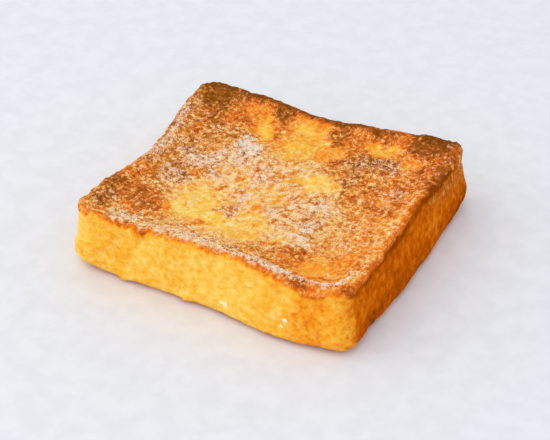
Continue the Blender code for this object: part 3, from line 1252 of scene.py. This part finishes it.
@dataclass
class Slice:
    """The slice of french toast."""

    form: SliceForm = field(default_factory=SliceForm)
    block: Block = field(default_factory=Block)
    browning: Browning = field(default_factory=Browning)
    sides: Sides = field(default_factory=Sides)
    finish: ToastFinish = field(default_factory=ToastFinish)
    crumb_size: float = 1.7
    pore_size: float = 1.5
    blot_size: float = 3.4
    crumb_height: float = 0.42
    under_tone: float = 0.56
    under_reach: float = 1.4

    def shape(self) -> None:
        """Works out the points, and the tone, sugar, soaking and crumb at each."""
        unit, self.faces, self.parts = self.block.lattice()
        form, sides = self.form, self.sides
        form.outline(unit)
        smooth = form.placed()
        self.points = smooth + form.crags(smooth)
        names = ("tone", "sugar", "soak", "crumbly")
        self.values = {name: np.zeros(len(smooth)) for name in names}
        self.fry_top(smooth)
        sides.find(form, smooth)
        sides.dress(self.values)
        self.points[sides.chosen, :2] += form.outward[sides.chosen] * sides.relief()[:, None]
        self.fry_underside(smooth)
        # Its box is centred on the frame's origin
        flat = self.points[:, :2]
        flat -= (flat.min(axis=0) + flat.max(axis=0)) / 2

    def fry_top(self, smooth: np.ndarray) -> None:
        """Browns and sugars the top and the rim, and roughens them where the crumb shows.

        Args:
            smooth: The smooth form's points.
        """
        form, values = self.form, self.values
        fried = np.flatnonzero(form.top | form.side & (form.level > 0.8))
        places = smooth[fried]
        brown, sweet, raised = self.browning.on_top(places)
        crumb = lumps(places, self.crumb_size, 31.0, 3)
        pattern = 0.8 * crumb + 0.5 * (cells(places, self.pore_size, 37.0) - 0.42)
        # Pale custard is smooth, and the crumb opens where it is browner or sugared
        rough = 0.45 * ease((brown - 0.40) / 0.2) + 0.55 * ease((brown - 0.62) / 0.15)
        rough = np.maximum(rough, ease((sweet - 0.02) / 0.20))
        rough *= 0.65 + 0.35 * ease((brown - 0.10) / 0.25)
        self.points[fried, 2] += raised + (0.35 + 0.65 * rough) * pattern * self.crumb_height
        # Pits are browner as painted shade in the hollows, and blots are browner at random, though
        # less so where all is dark
        pits = np.clip(-pattern, -0.5, 0.5)
        blots = lumps(places, self.blot_size, 33.0, 2)
        pit_shade_and_blots = (0.08 + 0.18 * rough) * pits + (0.05 + 0.13 * rough) * blots
        even = 1 - 0.45 * ease((brown - 0.70) / 0.20)
        values["tone"][fried] = brown + even * pit_shade_and_blots
        values["sugar"][fried] = sweet + (0.10 + 0.5 * sweet) * pattern
        rightward = 1 - 0.45 * ease((places[:, 0] - 26) / 20)
        values["crumbly"][fried] = rough * rightward * (0.6 + 0.4 * ease((brown - 0.25) / 0.25))

    def fry_underside(self, smooth: np.ndarray) -> None:
        """Browns the underside and the foot's edge, and pits the underside.

        Args:
            smooth: The smooth form's points.
        """
        form, values = self.form, self.values
        under = np.flatnonzero((form.under | form.side) & (form.level < 0.12))
        places = smooth[under]
        low = lumps(places * (1, 1, 0), 14.0, 67.0)
        crumb = lumps(places, self.crumb_size, 71.0)
        mixed = np.clip(self.under_tone + 0.22 * low + 0.30 * crumb, 0.05, 0.95)
        soaked = ease((places[:, 2] - 0.9) / self.under_reach)
        values["tone"][under] = values["tone"][under] * soaked + mixed * (1 - soaked)
        values["soak"][under] *= soaked
        pits = np.clip(0.25 - 0.55 * crumb, 0, 0.6) * form.under[under]
        self.points[under, 2] += pits * ease((1 - form.ring[under]) / 0.04)

    def build(self) -> bpy.types.Object:
        """Makes the slice's object, dressed and riding on the body.

        Returns:
            The slice's object.
        """
        self.shape()
        piece = piece_of("soaked_slice", self.points, self.faces, self.finish.material())
        for name, values in self.values.items():
            layer = piece.data.attributes.new(name, "FLOAT", "POINT")
            layer.data.foreach_set("value", values.astype(np.float32))
        piece.data.shade_smooth()
        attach(piece, BODY)
        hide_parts(NODE)
        LOG.info("%s: %d faces", piece.name, len(self.faces))
        return piece


@dataclass(frozen=True)
class Fleck:
    """A fleck of set egg white on the front side."""

    x: float
    height: float
    width: float


@dataclass
class EggWhite:
    """The flecks of egg white that set on the front side."""

    flecks: tuple[Fleck, ...] = (
        Fleck(8.6, 6.4, 3.2),
        Fleck(6.6, 6.9, 2.2),
        Fleck(17.9, 18.4, 1.2),
        Fleck(33.5, 10.0, 2.2),
        Fleck(32.2, 7.2, 1.6),
    )
    stands_out: float = 0.30
    ragged: float = 0.25
    finish: EggWhiteFinish = field(default_factory=EggWhiteFinish)

    def build(self, slice_: Slice) -> bpy.types.Object:
        """Makes the flecks as one joined mesh.

        Args:
            slice_: The slice that they lie on, after its shape is worked out.

        Returns:
            The flecks' object.
        """
        shell = bmesh.new()
        bmesh.ops.create_icosphere(shell, subdivisions=3, radius=0.5)
        ball = np.array([vert.co for vert in shell.verts])
        triangles = np.array([[vert.index for vert in face.verts] for face in shell.faces])
        shell.free()
        front = slice_.form.side & (slice_.form.outward[:, 1] < -0.9)
        near = slice_.points[front]
        points, faces = [], []
        for number, fleck in enumerate(self.flecks):
            away = np.hypot(near[:, 0] - fleck.x, near[:, 2] - fleck.height)
            middle = near[np.argmin(away)]
            lumpy = 1 + self.ragged * lumps(ball, 0.5, 91.0 + number, 2)
            size = fleck.width * np.array([1.0, self.stands_out, 0.8])
            faces += (triangles + number * len(ball)).tolist()
            points += (middle + ball * lumpy[:, None] * size).tolist()
        piece = piece_of("egg_white", np.array(points), faces, self.finish.material())
        piece.data.shade_smooth()
        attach(piece, BODY)
        LOG.info("%s: %d flecks", piece.name, len(self.flecks))
        return piece


@dataclass
class SugarDust:
    """Grains of sugar scattered on the top, most where the dusting is thick."""

    count: int = 5000
    smallest: float = 0.10
    largest: float = 0.26
    stretch: float = 0.25
    lifted: float = 0.07
    clump_size: float = 1.6
    seed: int = 7
    finish: SugarFinish = field(default_factory=SugarFinish)

    def build(self, slice_: Slice) -> bpy.types.Object:
        """Makes the grains as one joined mesh.

        Args:
            slice_: The slice that they lie on, after its shape is worked out.

        Returns:
            The grains' object.
        """
        draw = np.random.default_rng(self.seed)
        picked = [face for face, part in zip(slice_.faces, slice_.parts) if part == Face.TOP.value]
        quads = np.array(picked)
        corners = slice_.points[quads]
        sweet = slice_.values["sugar"][quads].mean(axis=1)
        clumps = lumps(corners[:, 0], self.clump_size, 83.0, 2)
        chance = np.clip(sweet, 0, 1) ** 3 * np.clip(0.45 + clumps, 0.02, None)
        chosen = draw.choice(len(quads), self.count, p=chance / chance.sum())
        a, b = draw.random((2, self.count, 1))
        q = corners[chosen]
        places = (q[:, 0] * (1 - a) + q[:, 1] * a) * (1 - b) + (q[:, 3] * (1 - a) + q[:, 2] * a) * b
        sizes = draw.uniform(self.smallest, self.largest, (self.count, 1, 1))
        sizes = sizes * draw.uniform(1 - self.stretch, 1 + self.stretch, (self.count, 1, 3))
        frames, _ = np.linalg.qr(draw.normal(size=(self.count, 3, 3)))
        tips = np.array([(1, 0, 0), (-1, 0, 0), (0, 1, 0), (0, -1, 0), (0, 0, 1), (0, 0, -1)])
        shapes = (tips[None] * sizes) @ frames
        shapes += places[:, None] + (0, 0, self.lifted)
        sides = [(0, 2), (2, 1), (1, 3), (3, 0)]
        triangles = [(*side, 4) for side in sides] + [(*side[::-1], 5) for side in sides]
        flip = np.linalg.det(frames) < 0
        every = np.array(triangles)[None] + 6 * np.arange(self.count)[:, None, None]
        every[flip] = every[flip][:, :, ::-1]
        faces = every.reshape(-1, 3).tolist()
        piece = piece_of("sugar_grains", shapes.reshape(-1, 3), faces, self.finish.material())
        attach(piece, BODY)
        LOG.info("%s: %d grains", piece.name, self.count)
        return piece


# ---------------------------------------------------------------- the studio


@dataclass(frozen=True)
class Lamp:
    """One soft lamp, aimed at the slice."""

    name: str
    azimuth: float
    elevation: float
    distance: float
    size: float
    power: float
    colour: Colour = (1.0, 1.0, 1.0, 1.0)

    def build(self) -> None:
        """Hangs the lamp."""
        light = bpy.data.lights.new(self.name, "AREA")
        light.shape = "DISK"
        light.size = self.size
        light.energy = self.power
        light.color = self.colour[:3]
        lamp = bpy.data.objects.new(self.name, light)
        back = direction(self.azimuth, self.elevation)
        lamp.location = back * self.distance
        lamp.rotation_euler = (-back).to_track_quat("-Z", "Y").to_euler()
        bpy.context.scene.collection.objects.link(lamp)


def direction(azimuth: float, elevation: float) -> Vector:
    """The way from the slice towards a viewer or a lamp.

    Args:
        azimuth: Degrees round from the front, towards the right.
        elevation: Degrees up from the floor.

    Returns:
        A vector of length 1.
    """
    round_, up = math.radians(azimuth), math.radians(elevation)
    flat = math.cos(up)
    return Vector((math.sin(round_) * flat, -math.cos(round_) * flat, math.sin(up)))


@dataclass
class Studio:
    """The floor, in millimetres, and the lamps, the sky and the camera, in metres and degrees."""

    floor_size: float = 6000.0
    floor_gap: float = 0.2
    sky: Colour = linear(236, 238, 242)
    sky_strength: float = 0.95
    lamps: tuple[Lamp, ...] = (
        Lamp("key", -36.0, 46.0, 1.6, 3.4, 17.5, (1.0, 0.98, 0.95, 1.0)),
    )
    azimuth: float = 27.47
    elevation: float = 35.93
    roll: float = -0.28
    distance: float = 0.6053
    aim: tuple[float, float, float] = (-0.00025, 0.001, 0.012)
    slide: tuple[float, float] = (0.00014, -0.0049)
    focal_pixels: float = 1546.3
    frame_pixels: float = 550.0
    sensor: float = 36.0

    def build(self) -> None:
        """Lays the floor, lights it and sets the camera up."""
        square = np.array([(-1, -1, 0), (1, -1, 0), (1, 1, 0), (-1, 1, 0)]) * self.floor_size / 2
        square -= (0, 0, self.floor_gap)
        floor = piece_of("floor", square, [(0, 1, 2, 3)], FloorFinish().material())
        for lamp in self.lamps:
            lamp.build()
        world = bpy.data.worlds.new("soft_sky")
        world.use_nodes = True
        background = world.node_tree.nodes["Background"]
        background.inputs["Color"].default_value = self.sky
        background.inputs["Strength"].default_value = self.sky_strength
        bpy.context.scene.world = world
        bpy.context.scene.view_settings.view_transform = "Standard"
        self.camera()
        LOG.info("studio: %d lamps", len(self.lamps))

    def camera(self) -> None:
        """Sets the camera to the photo's viewing angle."""
        data = bpy.data.cameras.new("camera")
        data.sensor_width = self.sensor
        data.lens = self.focal_pixels / self.frame_pixels * self.sensor
        data.clip_start, data.clip_end = 0.01, 50.0
        back = direction(self.azimuth, self.elevation)
        side = Vector((-back.y, back.x, 0)).normalized()
        up = back.cross(side)
        turn = Matrix.Rotation(math.radians(self.roll), 3, back)
        side, up = turn @ side, turn @ up
        eye = bpy.data.objects.new("camera", data)
        place = Vector(self.aim) + back * self.distance + side * self.slide[0] + up * self.slide[1]
        turned = Matrix((side, up, back)).transposed().to_4x4()
        eye.matrix_world = Matrix.Translation(place) @ turned
        bpy.context.scene.collection.objects.link(eye)
        bpy.context.scene.camera = eye


def main() -> None:
    """Builds the studio, the slice, its sugar and its flecks of egg white."""
    logging.basicConfig(level=logging.INFO)
    Studio().build()
    toast = Slice()
    toast.build()
    SugarDust().build(toast)
    EggWhite().build(toast)


if __name__ == "__main__":
    main()
